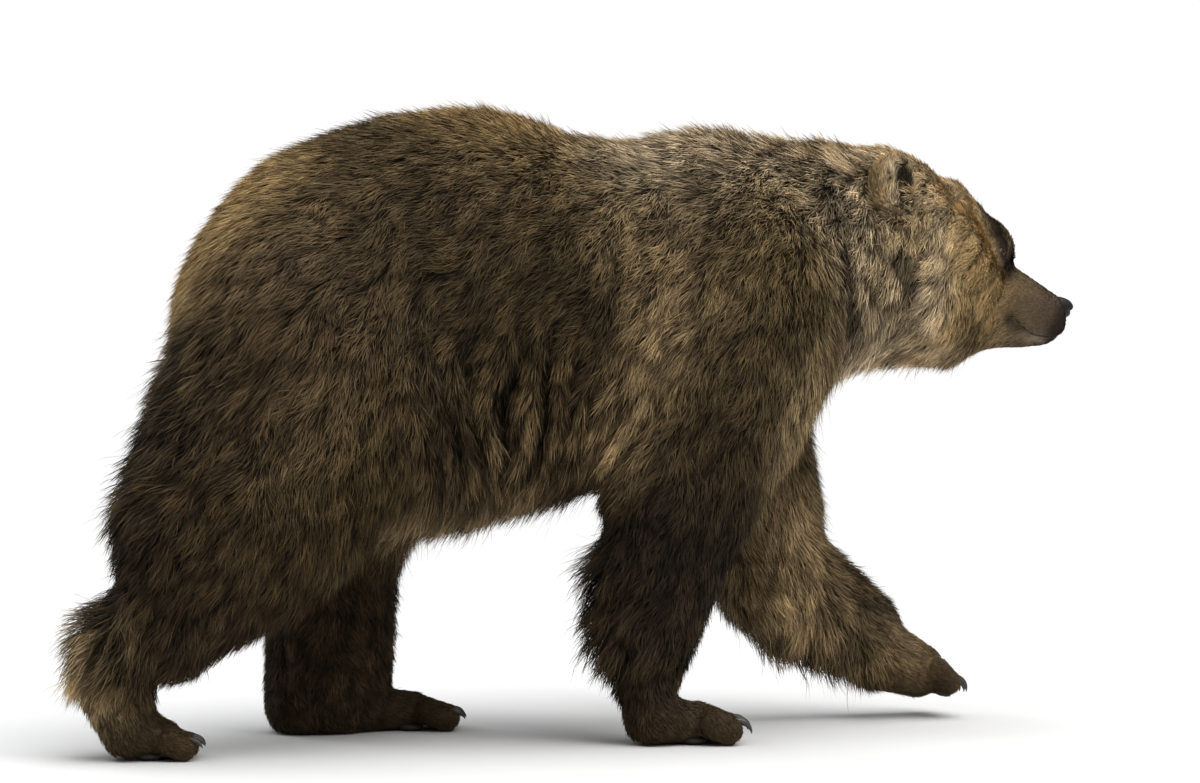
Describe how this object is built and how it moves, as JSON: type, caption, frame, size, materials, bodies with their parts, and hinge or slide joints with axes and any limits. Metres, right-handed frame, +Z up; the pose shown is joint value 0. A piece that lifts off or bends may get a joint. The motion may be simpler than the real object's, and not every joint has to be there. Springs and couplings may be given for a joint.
{
  "type": "brown bear",
  "caption": "Life-size still brown bear walking with head low, thick coat, humped shoulders and curved claws, for display.",
  "frame": {"origin": "on the floor, under the middle of the bear's bounding box", "axes": "+X towards the nose, +Y towards the bear's left, +Z up"},
  "size_m": [1.9026, 0.695, 1.1196],
  "materials": {
    "body_coat": "long grizzled brown fur with paler tips",
    "shoulder_coat": "long wavy tan and brown fur",
    "face_coat": "short dense golden tan fur",
    "leg_coat": "very dark brown fur, short on the feet and fringed behind",
    "muzzle_coat": "very short smooth grey-brown fur",
    "nose_leather": "moist black pebbled nose skin",
    "eye": "wet dark brown eye",
    "claw_horn": "dark grey worn horn"
  },
  "bodies": {
    "root": {"trunk": "body_coat", "tail": "body_coat", "neck": "shoulder_coat", "head": "face_coat", "muzzle": "muzzle_coat", "lower_jaw": "muzzle_coat", "nose": "nose_leather", "ear_right": "face_coat", "ear_left": "face_coat", "eye_right": "eye", "eye_left": "eye", "right_hind_upper_leg": "body_coat", "right_hind_lower_leg": "leg_coat", "right_hind_foot": "leg_coat", "left_hind_upper_leg": "body_coat", "left_hind_lower_leg": "leg_coat", "left_hind_foot": "leg_coat", "right_fore_upper_leg": "leg_coat", "right_fore_lower_leg": "leg_coat", "right_fore_foot": "leg_coat", "left_fore_upper_leg": "leg_coat", "left_fore_lower_leg": "leg_coat", "left_fore_foot": "leg_coat", "right_hind_claw_1": "claw_horn", "right_hind_claw_2": "claw_horn", "right_hind_claw_3": "claw_horn", "right_hind_claw_4": "claw_horn", "right_hind_claw_5": "claw_horn", "left_hind_claw_1": "claw_horn", "left_hind_claw_2": "claw_horn", "left_hind_claw_3": "claw_horn", "left_hind_claw_4": "claw_horn", "left_hind_claw_5": "claw_horn", "right_fore_claw_1": "claw_horn", "right_fore_claw_2": "claw_horn", "right_fore_claw_3": "claw_horn", "right_fore_claw_4": "claw_horn", "right_fore_claw_5": "claw_horn", "left_fore_claw_1": "claw_horn", "left_fore_claw_2": "claw_horn", "left_fore_claw_3": "claw_horn", "left_fore_claw_4": "claw_horn", "left_fore_claw_5": "claw_horn"}
  },
  "joints": []
}
